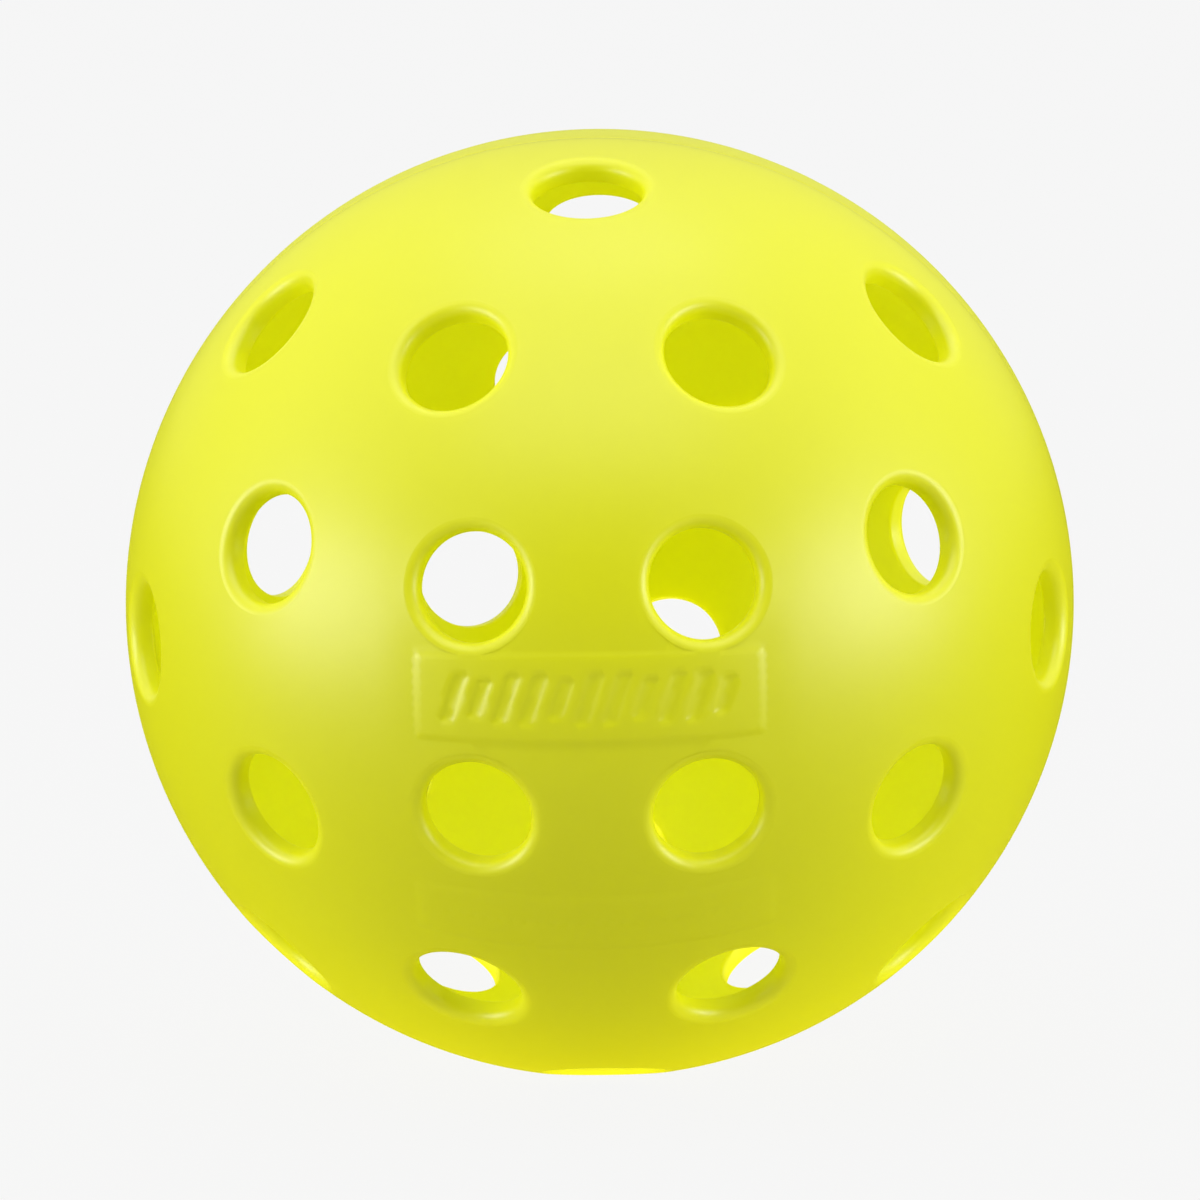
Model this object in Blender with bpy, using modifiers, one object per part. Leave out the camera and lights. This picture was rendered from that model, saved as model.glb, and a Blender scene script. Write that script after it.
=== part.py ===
"""Forty-hole pickleball: two moulded half shells, located by a stepped lip and welded at the equator."""

from math import cos, pi, radians, sin, sqrt

import bpy
from mathutils import Matrix, Vector

# Sizes in metres. The ball's centre is the origin, and the axis through its two poles is Y.
MM = 0.001
BALL_DIAMETER = 74.0 * MM
WALL = 1.9 * MM
BORE_DIAMETER = 8.5 * MM
RIM_BREAK = 0.5 * MM  # chamfer round the outer edge of each bore
LIP_LENGTH = 1.4 * MM  # how far the front half's lip runs past the equator
LIP_CLEARANCE = 0.2 * MM  # radial play between the lip and the rebate that takes it
WELD_GAP = 0.3 * MM  # axial gap that the weld fills
CUTTER_REACH = 2.0 * MM  # how far a bore cutter runs past each face of the wall

# One half's bores, as rings about its pole: angle from the pole, number of bores, angle to the first bore.
BORE_RINGS = ((20.2, 4, 45.0), (46.9, 8, 22.5), (73.0, 8, 0.0))
REAR_CLOCKING = 67.5  # degrees between the two halves' patterns, about the pole axis

# Facets round the pole axis, from pole to equator, and round a bore.
SHELL_SIDES = 48
SHELL_BANDS = 12
BORE_SIDES = 16

SMOOTH_BELOW = radians(35)
SHELL_COLOR = (0.78, 0.83, 0.07, 1.0)
SHELL_ROUGHNESS = 0.45


def clear_scene():
    for obj in list(bpy.data.objects):
        bpy.data.objects.remove(obj, do_unlink=True)


def new_collection(name, is_helper=False):
    collection = bpy.data.collections.new(name)
    collection.hide_render = is_helper
    bpy.context.scene.collection.children.link(collection)
    return collection


def plastic(name):
    material = bpy.data.materials.new(name)
    material.use_nodes = True
    shader = material.node_tree.nodes["Principled BSDF"]
    shader.inputs["Base Color"].default_value = SHELL_COLOR
    shader.inputs["Roughness"].default_value = SHELL_ROUGHNESS
    shader.inputs["Metallic"].default_value = 0.0
    material.diffuse_color = SHELL_COLOR
    return material


def turned(name, outline, sides, collection):
    """An object turned about Z from an outline of (radius, height) that runs down its outer side."""
    mesh = bpy.data.meshes.new(name)
    edges = [(i, i + 1) for i in range(len(outline) - 1)]
    mesh.from_pydata([(radius, 0, height) for radius, height in outline], edges, [])
    obj = bpy.data.objects.new(name, mesh)
    collection.objects.link(obj)
    screw = obj.modifiers.new("Turn", "SCREW")
    screw.axis = "Z"
    screw.steps = screw.render_steps = sides
    screw.use_merge_vertices = True
    screw.merge_threshold = 0.01 * MM
    return obj


def apply_modifiers(obj):
    """Swaps the outline for the finished mesh, so that its sharp edges can be marked."""
    finished = obj.evaluated_get(bpy.context.evaluated_depsgraph_get())
    obj.data = bpy.data.meshes.new_from_object(finished)
    obj.modifiers.clear()


def arc(radius, last_height):
    """Points of a quarter circle from the pole down to last_height, as (radius, height)."""
    angles = [i * pi / 2 / SHELL_BANDS for i in range(SHELL_BANDS)]
    points = [(radius * sin(a), radius * cos(a)) for a in angles]
    return points + [(sqrt(radius**2 - last_height**2), last_height)]


def half_outline(has_lip):
    """The section of one half, with its pole up. The front half has the lip, and the rear half the rebate."""
    outer, inner = BALL_DIAMETER / 2, BALL_DIAMETER / 2 - WALL
    middle = (outer + inner) / 2
    if has_lip:
        lip_radius = middle - LIP_CLEARANCE / 2
        step = [(lip_radius, WELD_GAP / 2), (lip_radius, -LIP_LENGTH), (inner, -LIP_LENGTH)]
        inner_arc = arc(inner, 0.0)
    else:
        rebate_depth = LIP_LENGTH + WELD_GAP
        step = [(middle + LIP_CLEARANCE / 2, WELD_GAP / 2), (middle + LIP_CLEARANCE / 2, rebate_depth)]
        inner_arc = arc(inner, rebate_depth)
    return arc(outer, WELD_GAP / 2) + step + inner_arc[::-1]


def bore_directions():
    """Unit vectors from the ball's centre through each bore of a half whose pole is +Z."""
    for polar, count, first in BORE_RINGS:
        for i in range(count):
            turn = radians(first + i * 360 / count)
            across, up = sin(radians(polar)), cos(radians(polar))
            yield Vector((across * cos(turn), across * sin(turn), up))


def bore_cutter(name, pose, direction, collection):
    """A turned plug along direction, the size of the bore, flared at the ball's surface to break the rim."""
    outer = BALL_DIAMETER / 2
    radius, top = BORE_DIAMETER / 2, outer + CUTTER_REACH
    flare = [(radius + RIM_BREAK + CUTTER_REACH, top), (radius, outer - RIM_BREAK)]
    bottom = outer - WALL - CUTTER_REACH
    cutter = turned(name, [(0, top), *flare, (radius, bottom), (0, bottom)], BORE_SIDES, collection)
    cutter.matrix_world = pose @ direction.to_track_quat("Z", "Y").to_matrix().to_4x4()
    cutter.display_type = "WIRE"
    cutter.hide_render = True


def half_shell(name, has_lip, pose, collection):
    """One half, bored through, and turned from pole-up to its place in the ball by pose."""
    shell = turned(name, half_outline(has_lip), SHELL_SIDES, collection)
    shell.matrix_world = pose
    cutters = new_collection(f"{name}_cutters", is_helper=True)
    for number, direction in enumerate(bore_directions(), 1):
        bore_cutter(f"{name}_bore_{number:02d}", pose, direction, cutters)
    bores = shell.modifiers.new("Bores", "BOOLEAN")
    bores.operation = "DIFFERENCE"
    bores.solver = "EXACT"
    bores.operand_type = "COLLECTION"
    bores.collection = cutters
    shell.data.materials.append(plastic(name))
    apply_modifiers(shell)
    shell.data.shade_smooth()
    shell.data.set_sharp_from_angle(angle=SMOOTH_BELOW)


def front_pose():
    """Takes a half's pole from +Z to -Y."""
    return Matrix.Rotation(pi / 2, 4, "X")


def rear_pose():
    """The front half turned over about a line in the seam plane, which clocks the two patterns."""
    turn = radians(REAR_CLOCKING / 2)
    return Matrix.Rotation(pi, 4, Vector((cos(turn), 0, sin(turn)))) @ front_pose()


def main():
    clear_scene()
    ball = new_collection("pickleball")
    half_shell("front_half_shell", True, front_pose(), ball)
    half_shell("rear_half_shell", False, rear_pose(), ball)


main()
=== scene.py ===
import math
from itertools import product

import bmesh
import bpy
from mathutils import Euler, Matrix, Vector
from mathutils.geometry import delaunay_2d_cdt


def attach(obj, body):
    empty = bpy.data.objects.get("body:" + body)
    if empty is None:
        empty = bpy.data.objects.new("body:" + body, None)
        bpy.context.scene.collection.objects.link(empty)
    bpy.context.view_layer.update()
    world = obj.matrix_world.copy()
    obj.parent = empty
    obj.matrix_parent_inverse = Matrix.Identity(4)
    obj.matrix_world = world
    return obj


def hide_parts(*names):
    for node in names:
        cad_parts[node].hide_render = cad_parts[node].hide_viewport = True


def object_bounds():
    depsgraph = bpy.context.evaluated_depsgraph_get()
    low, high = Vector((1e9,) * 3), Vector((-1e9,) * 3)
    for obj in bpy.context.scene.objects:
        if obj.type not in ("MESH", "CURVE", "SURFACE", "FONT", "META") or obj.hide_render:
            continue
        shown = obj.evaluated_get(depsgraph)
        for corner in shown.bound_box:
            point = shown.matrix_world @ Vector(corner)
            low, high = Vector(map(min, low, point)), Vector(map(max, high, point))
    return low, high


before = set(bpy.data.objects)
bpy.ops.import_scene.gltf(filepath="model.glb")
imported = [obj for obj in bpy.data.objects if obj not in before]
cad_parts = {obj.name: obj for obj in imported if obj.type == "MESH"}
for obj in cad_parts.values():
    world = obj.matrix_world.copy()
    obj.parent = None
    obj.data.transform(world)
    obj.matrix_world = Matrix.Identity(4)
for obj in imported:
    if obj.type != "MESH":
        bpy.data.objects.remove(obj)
cadLow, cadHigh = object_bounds()
mm = 0.001
ballRadius = (cadHigh.z - cadLow.z) / 2

# one moulded half, with its pole along +Z until it is turned into place
half = {
    "wall": 1.9 * mm,
    "boreRadius": 4.25 * mm,
    "rimRound": 0.9 * mm,        # radius of the outer edge of each bore
    "innerRound": 0.25 * mm,     # the same edge inside the ball
    "rimSides": 72,
    "rimSteps": 9,
    "innerSteps": 4,
    # for each ring: degrees from the pole, number of bores, degrees round to the first bore
    "rings": ((20.2, 4, 45.0), (46.9, 8, 22.5), (73.0, 8, 0.0)),
    "clocking": 67.5,            # degrees between the two halves' patterns
    "skinSpacing": 1.1 * mm,
    "innerSpacing": 2.0 * mm,
    "edgeShare": 0.4,            # of the spacing, kept clear of a skin's edges
    "pointShare": 0.62,          # of the spacing, kept clear of the points already placed
    "weld": 0.003 * mm,          # joins the bores' linings to the skins
    "sharpFrom": 50.0,           # degrees between two faces that meet at a sharp edge
}


def spherical(polar, azimuth):
    across = math.sin(polar)
    return Vector((across * math.cos(azimuth), across * math.sin(azimuth), math.cos(polar)))


def boreTurns():
    # the turn that takes +Z to each bore of a half
    for polar, count, first in half["rings"]:
        for i in range(count):
            yield Euler((0, math.radians(polar), math.radians(first + 360 / count * i))).to_matrix()


def edgeCircle(radius, inside):
    # the round between a sphere of that radius and the bore: its centre in the bore's section
    size = half["innerRound"] if inside else half["rimRound"]
    across = half["boreRadius"] + size
    reach = radius + size if inside else radius - size
    return size, across, math.sqrt(reach**2 - across**2)


def rimAngle(radius, inside):
    size, across, along = edgeCircle(radius, inside)
    return math.atan2(across, along)


def rimProfile():
    # (distance from the bore's axis, height, rim mask) from the outer skin, down the bore, to the inner
    # skin; the rim mask paints a highlight and rub wear on the outer round
    size, across, along = edgeCircle(ballRadius, False)
    start, steps = rimAngle(ballRadius, False), half["rimSteps"]
    points = []
    for i in range(steps + 1):
        turn = start - (start + math.pi / 2) * i / steps
        # rim mask for a painted highlight and rub wear, highest midway round the outer round
        wearAndHighlight = math.sin(math.pi * min(1, i / steps * 1.1))
        points.append((across + size * math.sin(turn), along + size * math.cos(turn), wearAndHighlight))
    size, across, low = edgeCircle(ballRadius - half["wall"], True)
    points.append((half["boreRadius"], (along + low) / 2, 0))
    start = rimAngle(ballRadius - half["wall"], True)
    for i in range(half["innerSteps"] + 1):
        turn = -math.pi / 2 - (math.pi / 2 - start) * i / half["innerSteps"]
        points.append((across + size * math.sin(turn), low + size * math.cos(turn), 0))
    return points


def meshObject(name, points, faces):
    mesh = bpy.data.meshes.new(name)
    mesh.from_pydata(points, [], faces)
    mesh.validate()
    obj = bpy.data.objects.new(name, mesh)
    bpy.context.scene.collection.objects.link(obj)
    return obj


def ringPoints(radius, height, sides):
    turns = [math.tau * i / sides for i in range(sides)]
    return [Vector((radius * math.cos(turn), radius * math.sin(turn), height)) for turn in turns]


def latheFaces(rows, sides):
    faces = []
    for start in range(0, (rows - 1) * sides, sides):
        for i in range(sides):
            j = (i + 1) % sides
            faces.append((start + i, start + sides + i, start + sides + j, start + j))
    return faces


def paint(mesh, name, values):
    mesh.attributes.new(name, "FLOAT", "POINT").data.foreach_set("value", values)


def makeRim():
    # one bore's turned lining, which the node tree below copies to every bore
    profile, sides = rimProfile(), half["rimSides"]
    points = [p for radius, height, wearAndHighlight in profile for p in ringPoints(radius, height, sides)]
    rim = meshObject("boreRim", points, latheFaces(len(profile), sides))
    paint(rim.data, "rimWearAndHighlight", [wearAndHighlight for radius, height, wearAndHighlight in profile for i in range(sides)])
    last = len(profile) - 1
    # share of the painted inside light and glow, rising down the bore to the inner skin
    deep = [max(0, row / last * 1.5 - 0.5) for row in range(last + 1)]
    paint(rim.data, "inside", [share for share in deep for i in range(sides)])
    return rim


# faint raised plates on the front half: centre as degrees below the pole, size, and what is cut into them
plates = (
    {"below": -0.9, "width": 28.3 * mm, "height": 6.9 * mm, "step": 0.07 * mm, "bars": 11,
     "barHeight": 3.9 * mm, "barWidth": 1.25 * mm, "slant": 0.34, "cut": 0.10 * mm},
    {"below": 29.3, "width": 29.2 * mm, "height": 5.0 * mm, "step": 0.035 * mm, "bars": 23,
     "barHeight": 0.7 * mm, "barWidth": 0.5 * mm, "slant": 0.0, "cut": 0.03 * mm},
)
plateEdge = {
    "bevel": 0.13 * mm,
    "fade": 4.0 * mm,            # how far round a plate the skin dips to meet its step
    "spacing": 0.45 * mm,
    "pointShare": 0.6,           # of the spacing, kept clear of the points already placed
    "barSpan": 0.84,             # of the plate's width
    "shortBar": 0.22,            # the share that every third bar lacks in height
    "facing": 0.3,               # the least cosine at which a direction still meets the plate
}


def plateFrame(plate):
    # the plate's own right, up and outward directions
    down = math.radians(plate["below"])
    up = Vector((0, math.cos(down), math.sin(down)))
    out = Vector((0, -math.sin(down), math.cos(down)))
    return Vector((1, 0, 0)), up, out


def onPlate(plate, direction):
    # where a direction from the ball's centre crosses the plate's flat plane
    right, up, out = plateFrame(plate)
    along = direction.dot(out)
    if along < plateEdge["facing"]:
        return None
    return direction.dot(right) / along * ballRadius, direction.dot(up) / along * ballRadius


def fromPlate(plate, x, y):
    right, up, out = plateFrame(plate)
    return (out * ballRadius + right * x + up * y).normalized()


def bars(plate):
    # the bars cut into a plate, as the middle of each and half its height
    span = plate["width"] * plateEdge["barSpan"]
    for i in range(plate["bars"]):
        isShort = i % 3 == 1
        tall = plate["barHeight"] / 2 * (1 - plateEdge["shortBar"] * isShort)
        yield span * ((i + 0.5) / plate["bars"] - 0.5), tall


def insideBar(plate, x, y):
    # how far a point lies inside the nearest bar, less than zero outside
    deepest = -1.0
    for middle, tall in bars(plate):
        side = plate["barWidth"] / 2 - abs(x - middle - y * plate["slant"])
        deepest = max(deepest, min(side / math.hypot(1, plate["slant"]), tall - abs(y)))
    return deepest


def relief(direction):
    # height of the skin over the ball's radius, never above it
    height = 0.0
    for plate in plates:
        place = onPlate(plate, direction)
        if not place:
            continue
        x, y = place
        pastX, pastY = abs(x) - plate["width"] / 2, abs(y) - plate["height"] / 2
        outside = math.hypot(max(pastX, 0), max(pastY, 0))
        if max(pastX, pastY) > 0:
            fade = max(0.0, 1 - outside / plateEdge["fade"])
            height -= plate["step"] * min(1, outside / plateEdge["bevel"]) * fade * fade
        else:
            height -= plate["cut"] * min(1, max(0, insideBar(plate, x, y)) / plateEdge["bevel"])
    return height


def outline(corners, spacing):
    points = []
    for i, (x, y) in enumerate(corners):
        nextX, nextY = corners[(i + 1) % len(corners)]
        count = max(1, round(math.hypot(nextX - x, nextY - y) / spacing))
        points += [(x + (nextX - x) * k / count, y + (nextY - y) * k / count) for k in range(count)]
    return points


def plateLoops(plate):
    # closed outlines where the skin changes slope: a plate's edge and foot, and each bar's edge and floor
    loops, bevel, slant = [], plateEdge["bevel"], plate["slant"]
    for grow in (0, bevel):
        w, h = plate["width"] / 2 + grow, plate["height"] / 2 + grow
        loops.append(outline([(-w, -h), (w, -h), (w, h), (-w, h)], plateEdge["spacing"]))
    for middle, tall in bars(plate):
        for shrink in (0, bevel):
            w, h = plate["barWidth"] / 2 - shrink * math.hypot(1, slant), tall - shrink
            corners = [(middle - w - h * slant, -h), (middle + w - h * slant, -h),
                       (middle + w + h * slant, h), (middle - w + h * slant, h)]
            loops.append(outline(corners, plateEdge["spacing"]))
    return [[fromPlate(plate, x, y) for x, y in loop] for loop in loops]


def ringLattice(spacing, lastPolar):
    rows = round(lastPolar / spacing)
    yield Vector((0, 0, 1))
    for row in range(1, rows):
        polar = lastPolar * row / rows
        count = max(6, round(math.tau * math.sin(polar) / spacing))
        for i in range(count):
            yield spherical(polar, math.tau * (i + 0.5 * (row % 2)) / count)


def plateLattice(plate, spacing):
    w, h = plate["width"] / 2 + plateEdge["fade"], plate["height"] / 2 + plateEdge["fade"]
    columns, rows = round(2 * w / spacing), round(2 * h / spacing)
    for row in range(rows + 1):
        for column in range(columns + 1):
            x = -w + 2 * w * (column + 0.5 * (row % 2)) / columns
            yield fromPlate(plate, x, -h + 2 * h * row / rows)


class Spots:
    # points already placed, so that a new one keeps its distance
    def __init__(self, cell):
        self.cell = cell
        self.cells = {}

    def key(self, p):
        return tuple(math.floor(c / self.cell) for c in p)

    def add(self, p):
        self.cells.setdefault(self.key(p), []).append(p)

    def isFree(self, p, gap):
        around = product(*((k - 1, k, k + 1) for k in self.key(p)))
        near = (q for cell in around for q in self.cells.get(cell, ()))
        return all((p - q).length > gap for q in near)


seam = {
    "sides": 288,
    "edgeRound": 0.14 * mm,      # of each half's outer edge, which leaves a fine line round the ball
    "edgeSteps": 5,
    "gap": 0.01 * mm,
    "lipLength": 1.4 * mm,
    "lipPlay": 0.1 * mm,
}


def skin(radius, inside, lastPolar, spacing, isPlated):
    # (points, faces) of one side of the wall with its round openings, meshed flat and lifted to the sphere
    loops = [[spherical(lastPolar, math.tau * i / seam["sides"]) for i in range(seam["sides"])]]
    opening, turns = rimAngle(radius, inside), list(boreTurns())
    sides = half["rimSides"]
    for turn in turns:
        loops.append([turn @ spherical(opening, math.tau * i / sides) for i in range(sides)])
    if isPlated:
        for plate in plates:
            loops += plateLoops(plate)
    directions = [p for loop in loops for p in loop]
    edges, start = [], 0
    for loop in loops:
        edges += [(start + i, start + (i + 1) % len(loop)) for i in range(len(loop))]
        start += len(loop)
    spots = Spots(spacing / radius)
    for p in directions:
        spots.add(p)
    middles = [turn @ Vector((0, 0, 1)) for turn in turns]
    edgeGap = half["edgeShare"] * spacing / radius
    seamLimit, openLimit = math.cos(lastPolar - edgeGap), math.cos(opening + edgeGap)

    def fill(candidates, gap):
        for p in candidates:
            isClear = p.z >= seamLimit and all(p.dot(m) <= openLimit for m in middles)
            if isClear and spots.isFree(p, gap / radius):
                directions.append(p)
                spots.add(p)

    if isPlated:
        plateSpacing = plateEdge["spacing"]
        for plate in plates:
            fill(plateLattice(plate, plateSpacing), plateSpacing * plateEdge["pointShare"])
    fill(ringLattice(spacing / radius, lastPolar), spacing * half["pointShare"])
    flat = [Vector((p.x / (1 + p.z), p.y / (1 + p.z))) for p in directions]
    found, _, triangles, origins, _, _ = delaunay_2d_cdt(flat, edges, [], 0, 1e-7)
    points = []
    for place, origin in zip(found, origins):
        if origin:
            points.append(directions[origin[0]])
        else:
            square = place.length_squared
            points.append(Vector((2 * place.x, 2 * place.y, 1 - square)) / (1 + square))
    limit = math.cos(opening)
    faces = []
    for face in triangles:
        middle = (points[face[0]] + points[face[1]] + points[face[2]]).normalized()
        if not any(middle.dot(m) > limit for m in middles):
            faces.append(tuple(reversed(face)) if inside else tuple(face))
    lifted = [p * (radius + (relief(p) if isPlated else 0)) for p in points]
    return lifted, faces


def seamProfile(hasLip):
    # (distance from the pole axis, height) from the outer skin, round the weld edge, to the inner skin
    inner, size, level = ballRadius - half["wall"], seam["edgeRound"], seam["gap"] / 2
    reach = ballRadius - size
    along = level + size
    across = math.sqrt(reach**2 - along**2)
    start = math.atan2(along, across)
    points = []
    for i in range(seam["edgeSteps"] + 1):
        turn = start - (start + math.pi / 2) * i / seam["edgeSteps"]
        points.append((across + size * math.cos(turn), along + size * math.sin(turn)))
    middle = (ballRadius + inner) / 2
    if hasLip:
        lip = middle - seam["lipPlay"] / 2
        end = -seam["lipLength"]
        points += [(lip, level), (lip, end), (inner, end), (inner, 0)]
    else:
        rebate, depth = middle + seam["lipPlay"] / 2, seam["lipLength"] + seam["lipPlay"]
        points += [(rebate, level), (rebate, depth), (math.sqrt(inner**2 - depth**2), depth)]
    return points


def joined(parts):
    points, faces = [], []
    for some, theirs in parts:
        start = len(points)
        points += some
        faces += [tuple(start + i for i in face) for face in theirs]
    return points, faces


def skinsOf(name, isFront):
    # both skins and the weld edge of a half, still without the linings of its bores
    edge, sides = seamProfile(isFront), seam["sides"]
    outer = skin(ballRadius, False, math.atan2(*edge[0]), half["skinSpacing"], isFront)
    inside = ballRadius - half["wall"]
    inner = skin(inside, True, math.atan2(*edge[-1]), half["innerSpacing"], False)
    rimPoints = [p for radius, height in edge for p in ringPoints(radius, height, sides)]
    rim = (rimPoints, latheFaces(len(edge), sides))
    obj = meshObject(name, *joined([outer, inner, rim]))
    # the inner skin takes all of the painted inside light and glow
    paint(obj.data, "inside", [0] * len(outer[0]) + [1] * len(inner[0]) + [0] * len(rimPoints))
    paint(obj.data, "rimWearAndHighlight", [0] * len(obj.data.vertices))
    return obj


def boreTree(material):
    # copies a bore's lining round each ring, welds it to the skins, and sets the material
    tree = bpy.data.node_groups.new("boreRings", "GeometryNodeTree")
    tree.interface.new_socket("Skins", in_out="INPUT", socket_type="NodeSocketGeometry")
    tree.interface.new_socket("Bore Lining", in_out="INPUT", socket_type="NodeSocketObject")
    for number in (1, 2, 3):
        tree.interface.new_socket(f"Ring {number} Polar", in_out="INPUT", socket_type="NodeSocketFloat")
        tree.interface.new_socket(f"Ring {number} Bores", in_out="INPUT", socket_type="NodeSocketInt")
        tree.interface.new_socket(f"Ring {number} First", in_out="INPUT", socket_type="NodeSocketFloat")
    tree.interface.new_socket("Weld Distance", in_out="INPUT", socket_type="NodeSocketFloat")
    tree.interface.new_socket("Half", in_out="OUTPUT", socket_type="NodeSocketGeometry")
    nodes, links = tree.nodes, tree.links
    source = nodes.new("NodeGroupInput")
    lining = nodes.new("GeometryNodeObjectInfo")
    links.new(source.outputs["Bore Lining"], lining.inputs["Object"])
    join = nodes.new("GeometryNodeJoinGeometry")
    index = nodes.new("GeometryNodeInputIndex")
    for number in (1, 2, 3):
        step = nodes.new("ShaderNodeMath")
        step.operation = "DIVIDE"
        step.inputs[0].default_value = math.tau
        links.new(source.outputs[f"Ring {number} Bores"], step.inputs[1])
        azimuth = nodes.new("ShaderNodeMath")
        azimuth.operation = "MULTIPLY_ADD"
        links.new(index.outputs[0], azimuth.inputs[0])
        links.new(step.outputs[0], azimuth.inputs[1])
        links.new(source.outputs[f"Ring {number} First"], azimuth.inputs[2])
        angles = nodes.new("ShaderNodeCombineXYZ")
        links.new(source.outputs[f"Ring {number} Polar"], angles.inputs["Y"])
        links.new(azimuth.outputs[0], angles.inputs["Z"])
        turn = nodes.new("FunctionNodeEulerToRotation")
        links.new(angles.outputs[0], turn.inputs[0])
        places = nodes.new("GeometryNodePoints")
        links.new(source.outputs[f"Ring {number} Bores"], places.inputs["Count"])
        copies = nodes.new("GeometryNodeInstanceOnPoints")
        links.new(places.outputs[0], copies.inputs["Points"])
        links.new(lining.outputs["Geometry"], copies.inputs["Instance"])
        links.new(turn.outputs[0], copies.inputs["Rotation"])
        links.new(copies.outputs[0], join.inputs[0])
    links.new(source.outputs["Skins"], join.inputs[0])
    real = nodes.new("GeometryNodeRealizeInstances")
    weld = nodes.new("GeometryNodeMergeByDistance")
    finish = nodes.new("GeometryNodeSetMaterial")
    finish.inputs["Material"].default_value = material
    target = nodes.new("NodeGroupOutput")
    links.new(join.outputs[0], real.inputs[0])
    links.new(real.outputs[0], weld.inputs["Geometry"])
    links.new(source.outputs["Weld Distance"], weld.inputs["Distance"])
    links.new(weld.outputs[0], finish.inputs["Geometry"])
    links.new(finish.outputs[0], target.inputs[0])
    return tree


def setInputs(modifier, values):
    # a modifier's inputs are keyed by socket identifier
    for item in modifier.node_group.interface.items_tree:
        if item.item_type == "SOCKET" and item.in_out == "INPUT" and item.name in values:
            modifier[item.identifier] = values[item.name]


def makeHalf(name, isFront, pose, rim, material):
    # the front half has both the lip and the plates
    obj = skinsOf(name, isFront)
    modifier = obj.modifiers.new("Bores", "NODES")
    modifier.node_group = boreTree(material)
    values = {"Bore Lining": rim, "Weld Distance": half["weld"]}
    for number, (polar, count, first) in enumerate(half["rings"], 1):
        values[f"Ring {number} Polar"] = math.radians(polar)
        values[f"Ring {number} Bores"] = count
        values[f"Ring {number} First"] = math.radians(first)
    setInputs(modifier, values)
    evaluated = obj.evaluated_get(bpy.context.evaluated_depsgraph_get())
    obj.data = bpy.data.meshes.new_from_object(evaluated)
    obj.modifiers.clear()
    obj.data.name = name
    obj.data.transform(pose)
    obj.data.shade_smooth()
    obj.data.set_sharp_from_angle(angle=math.radians(half["sharpFrom"]))
    report(obj)
    return obj


def report(obj):
    # prints whether the piece is closed, and its volume
    work = bmesh.new()
    work.from_mesh(obj.data)
    openEdges = sum(not edge.is_manifold for edge in work.edges)
    volume = round(work.calc_volume(signed=True) / mm**3)
    print(obj.name, len(obj.data.polygons), "faces,", openEdges, "open edges,", volume, "mm3")
    work.free()


def node(tree, kind, **values):
    made = tree.nodes.new(kind)
    for name, value in values.items():
        setattr(made, name, value)
    return made


plastic = {
    "color": (0.81, 0.83, 0.0, 1),
    "slowColor": (0.78, 0.795, 0.0, 1),      # drifts in with the slow waves
    "slowShare": 0.5,
    "insideLitColor": (0.85, 0.89, 0.0, 1),       # inside, lighter and yellower: painted light for what has passed through the wall and bounced inside
    "paleWearAndHighlightColor": (0.83, 0.86, 0.02, 1),      # paler rims, partly a painted highlight on their rounds and partly rub wear, and scuff marks
    # share of the pale colour on the rims, which paints a highlight there as well as wear
    "rimWearAndHighlight": 0.35,
    "roughness": 0.41,
    "roughSpread": 0.08,
    "grainSize": 0.35 * mm,
    "grainHeight": 0.004 * mm,
    "waveSize": 11 * mm,
    "waveHeight": 0.02 * mm,
    "specular": 0.75,
    "innerLight": 0.08,          # strength of a painted glow inside the ball, for daylight that has come through the wall
    "rimLight": 0.35,            # the same painted glow at the rims, as a share of it
    "innerGlowColor": (1.0, 0.94, 0.0, 1),
    "subsurface": 0.5,
    "subsurfaceRadius": (1.0, 1.0, 0.1),
    "subsurfaceScale": 2 * mm,
}


def grainGroup():
    # fine mould grain and slow waviness, as a height in metres and a slow tone from 0 to 1
    group = bpy.data.node_groups.new("mouldGrain", "ShaderNodeTree")
    for name in ("Grain Size", "Grain Height", "Wave Size", "Wave Height", "Seed"):
        group.interface.new_socket(name, in_out="INPUT", socket_type="NodeSocketFloat")
    for name in ("Height", "Tone"):
        group.interface.new_socket(name, in_out="OUTPUT", socket_type="NodeSocketFloat")
    source, target = node(group, "NodeGroupInput"), node(group, "NodeGroupOutput")
    place = node(group, "ShaderNodeTexCoord")
    total = None
    for size, height in (("Grain Size", "Grain Height"), ("Wave Size", "Wave Height")):
        scale = node(group, "ShaderNodeMath", operation="DIVIDE")
        scale.inputs[0].default_value = 1
        group.links.new(source.outputs[size], scale.inputs[1])
        noise = node(group, "ShaderNodeTexNoise", noise_dimensions="4D")
        noise.inputs["Detail"].default_value = 3
        group.links.new(place.outputs["Object"], noise.inputs["Vector"])
        group.links.new(source.outputs["Seed"], noise.inputs["W"])
        group.links.new(scale.outputs[0], noise.inputs["Scale"])
        lift = node(group, "ShaderNodeMath", operation="MULTIPLY_ADD")
        group.links.new(noise.outputs["Fac"], lift.inputs[0])
        group.links.new(source.outputs[height], lift.inputs[1])
        lift.inputs[2].default_value = 0
        if total:
            group.links.new(total, lift.inputs[2])
        total = lift.outputs[0]
    group.links.new(total, target.inputs["Height"])
    group.links.new(noise.outputs["Fac"], target.inputs["Tone"])
    return group


scuffs = {
    "markSize": 1.6 * mm,
    "stretch": 0.16,             # a mark's width as a share of its length
    "from": 0.60,                # noise at which a mark starts to show
    "full": 0.78,
    "amount": 0.35,
    "strength": 0.25,
}


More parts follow.
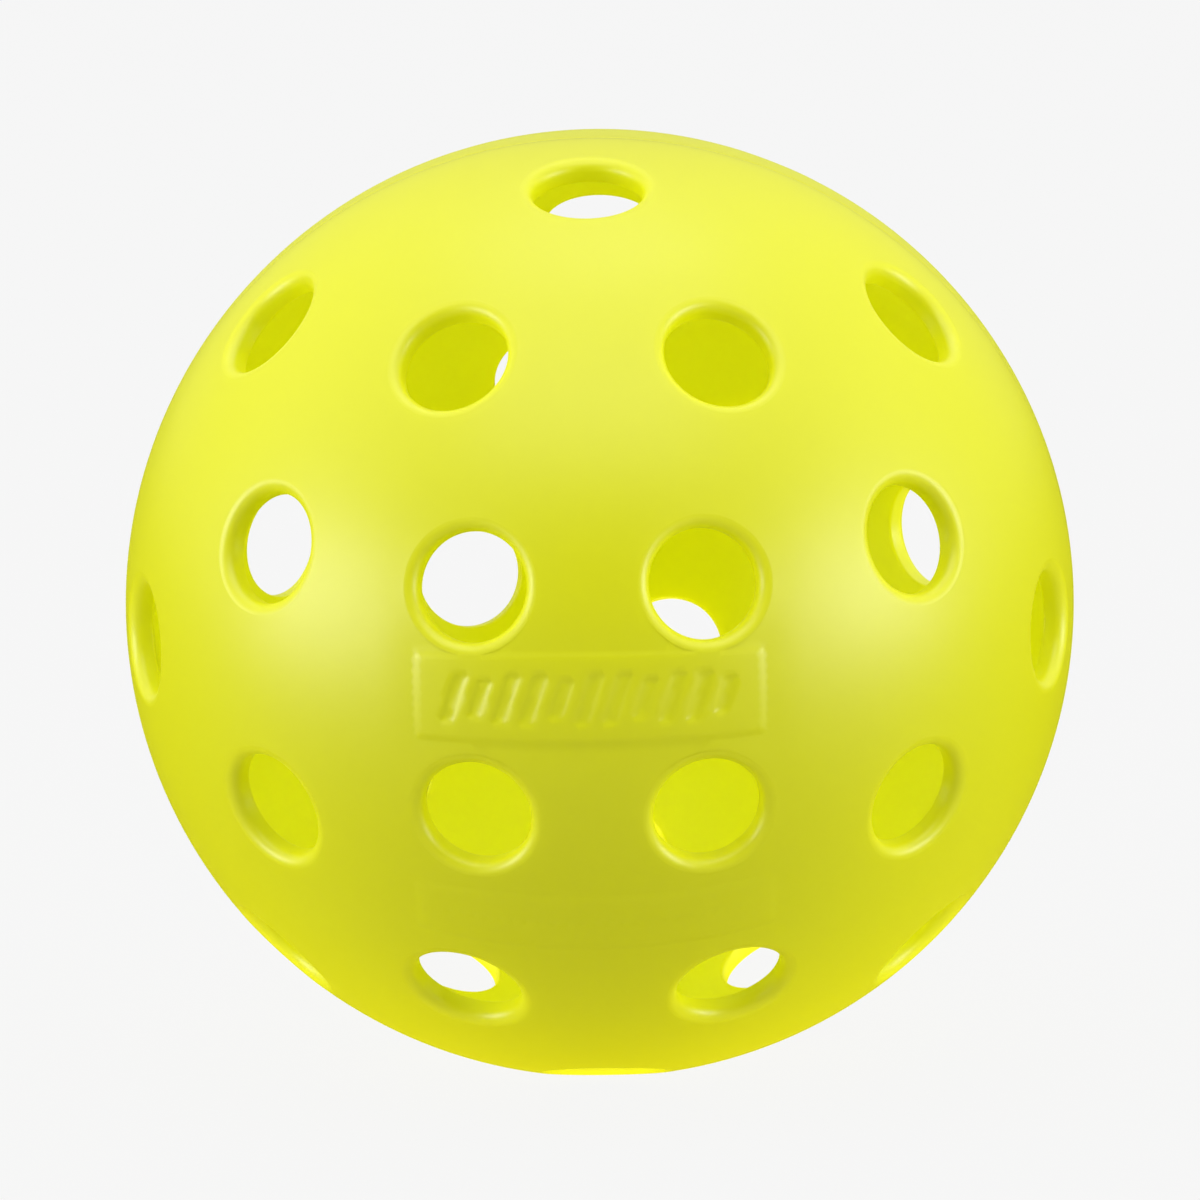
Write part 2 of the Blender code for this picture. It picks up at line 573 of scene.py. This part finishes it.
def scuffGroup():
    # sparse short rub marks, as a mask from 0 to 1
    group = bpy.data.node_groups.new("scuffMarks", "ShaderNodeTree")
    for name in ("Mark Size", "Amount", "Seed"):
        group.interface.new_socket(name, in_out="INPUT", socket_type="NodeSocketFloat")
    group.interface.new_socket("Mask", in_out="OUTPUT", socket_type="NodeSocketFloat")
    source, target = node(group, "NodeGroupInput"), node(group, "NodeGroupOutput")
    place = node(group, "ShaderNodeTexCoord")
    stretch = node(group, "ShaderNodeMapping")
    stretch.inputs["Rotation"].default_value = (0.4, 0.7, 0.3)
    stretch.inputs["Scale"].default_value = (1, scuffs["stretch"], 1)
    group.links.new(place.outputs["Object"], stretch.inputs["Vector"])
    scale = node(group, "ShaderNodeMath", operation="DIVIDE")
    scale.inputs[0].default_value = 1
    group.links.new(source.outputs["Mark Size"], scale.inputs[1])
    noise = node(group, "ShaderNodeTexNoise", noise_dimensions="4D")
    noise.inputs["Detail"].default_value = 4
    group.links.new(stretch.outputs[0], noise.inputs["Vector"])
    group.links.new(source.outputs["Seed"], noise.inputs["W"])
    group.links.new(scale.outputs[0], noise.inputs["Scale"])
    cut = node(group, "ShaderNodeMapRange")
    cut.inputs["From Min"].default_value = scuffs["from"]
    cut.inputs["From Max"].default_value = scuffs["full"]
    group.links.new(noise.outputs["Fac"], cut.inputs["Value"])
    mask = node(group, "ShaderNodeMath", operation="MULTIPLY")
    group.links.new(cut.outputs["Result"], mask.inputs[0])
    group.links.new(source.outputs["Amount"], mask.inputs[1])
    group.links.new(mask.outputs[0], target.inputs["Mask"])
    return group


def mixColor(tree, mask, first, second):
    mix = node(tree, "ShaderNodeMix", data_type="RGBA")
    for socket, value in zip((mix.inputs[6], mix.inputs[7]), (first, second)):
        if isinstance(value, tuple):
            socket.default_value = value
        else:
            tree.links.new(value, socket)
    tree.links.new(mask, mix.inputs[0])
    return mix.outputs[2]


def scaled(tree, value, factor, base=0.0):
    lift = node(tree, "ShaderNodeMath", operation="MULTIPLY_ADD")
    tree.links.new(value, lift.inputs[0])
    lift.inputs[1].default_value = factor
    lift.inputs[2].default_value = base
    return lift.outputs[0]


def ballPlastic(name, seed, grain, rubMarks):
    material = bpy.data.materials.new(name)
    material.use_nodes = True
    tree = material.node_tree
    shader = tree.nodes["Principled BSDF"]
    texture = node(tree, "ShaderNodeGroup", node_tree=grain)
    texture.inputs["Grain Size"].default_value = plastic["grainSize"]
    texture.inputs["Grain Height"].default_value = plastic["grainHeight"]
    texture.inputs["Wave Size"].default_value = plastic["waveSize"]
    texture.inputs["Wave Height"].default_value = plastic["waveHeight"]
    texture.inputs["Seed"].default_value = seed
    marks = node(tree, "ShaderNodeGroup", node_tree=rubMarks)
    marks.inputs["Mark Size"].default_value = scuffs["markSize"]
    marks.inputs["Amount"].default_value = scuffs["amount"]
    marks.inputs["Seed"].default_value = seed + 5
    wearAndHighlight = node(tree, "ShaderNodeAttribute", attribute_name="rimWearAndHighlight")
    inside = node(tree, "ShaderNodeAttribute", attribute_name="inside")
    slow = scaled(tree, texture.outputs["Tone"], plastic["slowShare"])
    tone = mixColor(tree, slow, plastic["color"], plastic["slowColor"])
    # painted highlight and rub wear: the rims' rounds turn paler
    paleRimShare = scaled(tree, wearAndHighlight.outputs["Fac"], plastic["rimWearAndHighlight"])
    paleRimmed = mixColor(tree, paleRimShare, tone, plastic["paleWearAndHighlightColor"])
    scuffed = scaled(tree, marks.outputs["Mask"], scuffs["strength"])
    marked = mixColor(tree, scuffed, paleRimmed, plastic["paleWearAndHighlightColor"])
    # painted light: the inside of the ball and the deeper bores take a lighter colour
    color = mixColor(tree, inside.outputs["Fac"], marked, plastic["insideLitColor"])
    tree.links.new(color, shader.inputs["Base Color"])
    # painted glow: the inside of the ball and the rims give off a faint yellow light
    thin = scaled(tree, wearAndHighlight.outputs["Fac"], plastic["rimLight"])
    rimGlow = mixColor(tree, thin, (0, 0, 0, 1), plastic["innerGlowColor"])
    glow = mixColor(tree, inside.outputs["Fac"], rimGlow, plastic["innerGlowColor"])
    tree.links.new(glow, shader.inputs["Emission Color"])
    shader.inputs["Emission Strength"].default_value = plastic["innerLight"]
    smoothest = plastic["roughness"] - plastic["roughSpread"] / 2
    rough = scaled(tree, texture.outputs["Tone"], plastic["roughSpread"], smoothest)
    tree.links.new(rough, shader.inputs["Roughness"])
    bump = node(tree, "ShaderNodeBump")
    bump.inputs["Distance"].default_value = 1
    tree.links.new(texture.outputs["Height"], bump.inputs["Height"])
    tree.links.new(bump.outputs[0], shader.inputs["Normal"])
    shader.inputs["Specular IOR Level"].default_value = plastic["specular"]
    shader.inputs["Subsurface Weight"].default_value = plastic["subsurface"]
    shader.inputs["Subsurface Radius"].default_value = plastic["subsurfaceRadius"]
    shader.inputs["Subsurface Scale"].default_value = plastic["subsurfaceScale"]
    return material


# the camera stands above the front pole, and is turned by these degrees about its own three axes
view = {"distance": 35.71 * ballRadius, "tilt": 12.32, "pan": -1.45, "roll": 0.86, "lens": 507.7,
        "right": 0.02 * mm, "up": 0.226 * mm}


def addCamera():
    toLevel = Matrix(((1, 0, 0), (0, 0, 1), (0, -1, 0)))
    roll, pan, tilt = (Matrix.Rotation(math.radians(view[name]), 3, axis)
                       for name, axis in (("roll", "Z"), ("pan", "Y"), ("tilt", "X")))
    turn = (roll @ pan @ tilt @ toLevel).transposed()
    camera = bpy.data.objects.new("camera", bpy.data.cameras.new("camera"))
    camera.data.lens = view["lens"]
    camera.data.sensor_width = 36
    camera.data.clip_end = 20
    camera.matrix_world = turn.to_4x4()
    camera.location = turn @ Vector((view["right"], view["up"], view["distance"]))
    bpy.context.scene.collection.objects.link(camera)
    bpy.context.scene.camera = camera


# white soft boxes: where each stands, its size and its power
lamps = {
    "topBox": {"place": (0, 0.12, 0.50), "size": (0.36, 0.25), "power": 0.29},
    "frontTopBox": {"place": (0, -0.30, 0.50), "size": (0.60, 0.35), "power": 0.92},
    "leftBox": {"place": (-0.60, 0, 0.22), "size": (0.50, 0.50), "power": 0.2},
    "rightBox": {"place": (0.60, 0, 0.22), "size": (0.50, 0.50), "power": 0.2},
    "leftStrip": {"place": (-0.55, -0.23, 0.07), "size": (0.40, 0.24), "power": 1.74},
    "rightStrip": {"place": (0.55, -0.23, 0.07), "size": (0.40, 0.24), "power": 1.68},
}


def addLamps():
    for name, lamp in lamps.items():
        light = bpy.data.lights.new(name, "AREA")
        light.shape = "RECTANGLE"
        light.size, light.size_y = lamp["size"]
        light.energy = lamp["power"]
        obj = bpy.data.objects.new(name, light)
        obj.location = lamp["place"]
        obj.rotation_euler = (-Vector(lamp["place"])).to_track_quat("-Z", "Y").to_euler()
        bpy.context.scene.collection.objects.link(obj)


# the floor is shown paler and more even than it is lit, and its glow lights the ball from below and behind
studio = {
    "floorSize": 8.0,
    "floorColor": (0.45, 0.45, 0.45, 1),
    "floorRoughness": 0.9,
    "floorShown": 0.949,
    "evenness": 0.95,
    "glow": 3.0,
    "glowColor": (1.0, 0.90, 0.4, 1),
    "glowCentre": (0.0, 0.06),
    "glowReach": 0.12,
    "mirrored": 0.0,             # the floor's brightness as the plastic's sheen sees it
    "horizon": 0.46,
    "zenith": 1.03,
    "skyFrom": 0.15,             # height on a sphere of radius 1 at which the sky starts to brighten
    "dark": 0.9,                 # the same towards the camera, where the room turns fully dark
    "skyColor": (1, 1, 1, 1),
}


def glowSpot(tree):
    # 1 at the glow's centre on the floor, fading to 0 at its reach
    place = node(tree, "ShaderNodeTexCoord")
    offset = node(tree, "ShaderNodeVectorMath", operation="DISTANCE")
    offset.inputs[1].default_value = (*studio["glowCentre"], cadLow.z)
    tree.links.new(place.outputs["Object"], offset.inputs[0])
    fade = node(tree, "ShaderNodeMapRange", interpolation_type="SMOOTHSTEP")
    fade.inputs["From Min"].default_value = studio["glowReach"]
    fade.inputs["From Max"].default_value = 0
    fade.inputs["To Max"].default_value = studio["glow"]
    tree.links.new(offset.outputs["Value"], fade.inputs["Value"])
    return fade.outputs["Result"]


def emission(tree, strength, color=(1, 1, 1, 1)):
    light = node(tree, "ShaderNodeEmission")
    light.inputs["Color"].default_value = color
    if isinstance(strength, float):
        light.inputs["Strength"].default_value = strength
    else:
        tree.links.new(strength, light.inputs["Strength"])
    return light.outputs[0]


def mixShader(tree, share, first, second):
    mix = node(tree, "ShaderNodeMixShader")
    if isinstance(share, float):
        mix.inputs[0].default_value = share
    else:
        tree.links.new(share, mix.inputs[0])
    tree.links.new(first, mix.inputs[1])
    tree.links.new(second, mix.inputs[2])
    return mix.outputs[0]


def paleFloor():
    material = bpy.data.materials.new("paleFloor")
    material.use_nodes = True
    material.cycles.emission_sampling = "NONE"
    tree = material.node_tree
    shader = tree.nodes["Principled BSDF"]
    shader.inputs["Base Color"].default_value = studio["floorColor"]
    shader.inputs["Roughness"].default_value = studio["floorRoughness"]
    shader.inputs["Specular IOR Level"].default_value = 0.0
    lit = node(tree, "ShaderNodeAddShader")
    tree.links.new(shader.outputs[0], lit.inputs[0])
    tree.links.new(emission(tree, glowSpot(tree), studio["glowColor"]), lit.inputs[1])
    path = node(tree, "ShaderNodeLightPath")
    seen = mixShader(tree, studio["evenness"], shader.outputs[0], emission(tree, studio["floorShown"]))
    sheen = emission(tree, studio["mirrored"])
    mirrored = mixShader(tree, path.outputs["Is Glossy Ray"], lit.outputs[0], sheen)
    shown = mixShader(tree, path.outputs["Is Camera Ray"], mirrored, seen)
    tree.links.new(shown, tree.nodes["Material Output"].inputs["Surface"])
    return material


def addFloor():
    reach = studio["floorSize"]
    corners = [(x * reach, y * reach, cadLow.z) for x, y in ((-1, -1), (1, -1), (1, 1), (-1, 1))]
    floor = meshObject("floor", corners, [(0, 1, 2, 3)])
    floor.data.materials.append(paleFloor())


def addSky():
    # brightest overhead, and dark behind the camera
    world = bpy.data.worlds.new("studio")
    world.use_nodes = True
    tree = world.node_tree
    place = node(tree, "ShaderNodeTexCoord")
    split = node(tree, "ShaderNodeSeparateXYZ")
    tree.links.new(place.outputs["Generated"], split.inputs[0])
    rise = node(tree, "ShaderNodeMapRange", interpolation_type="SMOOTHSTEP")
    rise.inputs["From Min"].default_value = studio["skyFrom"]
    rise.inputs["To Min"].default_value = studio["horizon"]
    rise.inputs["To Max"].default_value = studio["zenith"]
    tree.links.new(split.outputs["Z"], rise.inputs["Value"])
    dim = node(tree, "ShaderNodeMapRange", interpolation_type="SMOOTHSTEP")
    dim.inputs["From Min"].default_value = 0
    dim.inputs["From Max"].default_value = -studio["dark"]
    dim.inputs["To Min"].default_value = 1
    dim.inputs["To Max"].default_value = 0
    tree.links.new(split.outputs["Y"], dim.inputs["Value"])
    strength = node(tree, "ShaderNodeMath", operation="MULTIPLY")
    tree.links.new(rise.outputs["Result"], strength.inputs[0])
    tree.links.new(dim.outputs["Result"], strength.inputs[1])
    back = tree.nodes["Background"]
    back.inputs["Color"].default_value = studio["skyColor"]
    tree.links.new(strength.outputs[0], back.inputs["Strength"])
    bpy.context.scene.world = world
    bpy.context.scene.view_settings.view_transform = "Standard"


def frontPose():
    return Matrix.Rotation(math.pi / 2, 4, "X")


def rearPose():
    turn = math.radians(half["clocking"] / 2)
    return Matrix.Rotation(math.pi, 4, Vector((math.cos(turn), 0, math.sin(turn)))) @ frontPose()


def makeBall():
    grain, rubMarks, rim = grainGroup(), scuffGroup(), makeRim()
    made = {}
    for name, cadName, isFront, pose, seed in (("frontShell", "front_half_shell", True, frontPose(), 1.0),
                                               ("rearShell", "rear_half_shell", False, rearPose(), 8.0)):
        material = ballPlastic(f"{name}Plastic", seed, grain, rubMarks)
        made[cadName] = makeHalf(name, isFront, pose, rim, material)
    bpy.data.objects.remove(rim)
    for cadName, piece in made.items():
        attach(piece, "root")
        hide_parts(cadName)


addCamera()
print("camera set")
makeBall()
print("ball made")
addLamps()
addFloor()
addSky()
print("studio set")
